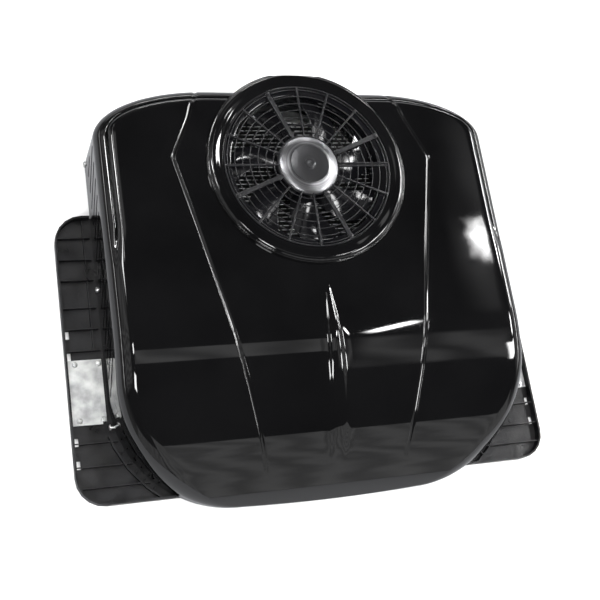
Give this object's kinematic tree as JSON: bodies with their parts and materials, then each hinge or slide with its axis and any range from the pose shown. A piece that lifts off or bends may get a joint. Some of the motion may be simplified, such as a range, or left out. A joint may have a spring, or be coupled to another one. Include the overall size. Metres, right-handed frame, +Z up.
{
  "type": "rooftop air conditioning unit",
  "caption": "Low-profile rooftop air conditioner: gloss black louvred cover with a round guarded fan, on a ribbed adapter tray with clamping plates.",
  "frame": {"origin": "centre of the whole unit's footprint, on the plane of the roof seal's underside", "axes": "+X across the unit to the right, +Y to the rear (fan end), +Z up, away from the roof"},
  "size_m": [0.8, 0.687, 0.155],
  "materials": {
    "seal_rubber": "matt closed-cell rubber",
    "tray_plastic": "fine-textured moulded plastic, satin",
    "zinc_plate": "galvanised sheet, spangled",
    "screw_zinc": "bright zinc plated",
    "cover_gloss": "deep black high gloss",
    "fan_plastic": "black glass-filled plastic, semi-matt",
    "motor_steel": "turned, dark lacquered can with fine rings",
    "coil_aluminium": "bare finned aluminium",
    "painted_steel": "black powder coat",
    "copper_pipe": "drawn copper tube",
    "valve_brass": "machined brass"
  },
  "bodies": {
    "housing": {"roof_seal": "seal_rubber", "support_foot_left": "seal_rubber", "support_foot_right": "seal_rubber", "cable_gland": "seal_rubber", "compressor_grommet_1": "seal_rubber", "compressor_grommet_2": "seal_rubber", "compressor_grommet_3": "seal_rubber", "adapter_tray": "tray_plastic", "mounting_plate_left": "zinc_plate", "mounting_plate_right": "zinc_plate", "chassis_pan": "zinc_plate", "partition_wall": "zinc_plate", "compressor_base_plate": "zinc_plate", "condenser_bracket_left": "zinc_plate", "condenser_bracket_right": "zinc_plate", "plate_screw_left_1": "screw_zinc", "plate_screw_left_2": "screw_zinc", "plate_screw_left_3": "screw_zinc", "plate_screw_left_4": "screw_zinc", "plate_screw_right_1": "screw_zinc", "plate_screw_right_2": "screw_zinc", "plate_screw_right_3": "screw_zinc", "plate_screw_right_4": "screw_zinc", "cover_screw_left_1": "screw_zinc", "cover_screw_left_2": "screw_zinc", "cover_screw_left_3": "screw_zinc", "cover_screw_right_1": "screw_zinc", "cover_screw_right_2": "screw_zinc", "cover_screw_right_3": "screw_zinc", "guard_screw_1": "screw_zinc", "guard_screw_2": "screw_zinc", "guard_screw_3": "screw_zinc", "guard_screw_4": "screw_zinc", "cover": "cover_gloss", "fan_bezel": "cover_gloss", "fan_duct": "fan_plastic", "fan_guard": "fan_plastic", "drain_tray": "fan_plastic", "blower_housing_left": "fan_plastic", "blower_housing_right": "fan_plastic", "fan_motor": "motor_steel", "condenser_core": "coil_aluminium", "condenser_header_left": "coil_aluminium", "condenser_header_right": "coil_aluminium", "evaporator_core": "coil_aluminium", "compressor": "painted_steel", "filter_drier": "painted_steel", "control_box": "painted_steel", "control_box_lid": "painted_steel", "blower_motor": "painted_steel", "discharge_line": "copper_pipe", "liquid_line_rear": "copper_pipe", "liquid_line_front": "copper_pipe", "suction_line": "copper_pipe", "expansion_valve": "valve_brass"},
    "fan_rotor": {"fan_impeller": "fan_plastic", "fan_shaft": "screw_zinc"},
    "blower_rotor": {"blower_wheel_left": "fan_plastic", "blower_wheel_right": "fan_plastic", "blower_shaft": "screw_zinc"}
  },
  "joints": [
    {"name": "fan_spin", "type": "hinge", "parent": "housing", "child": "fan_rotor", "pos_m": [0, 0.18, 0.12], "axis": [0, 0, 1], "continuous": true},
    {"name": "blower_spin", "type": "hinge", "parent": "housing", "child": "blower_rotor", "pos_m": [0, -0.212, 0.054], "axis": [1, 0, 0], "continuous": true}
  ]
}
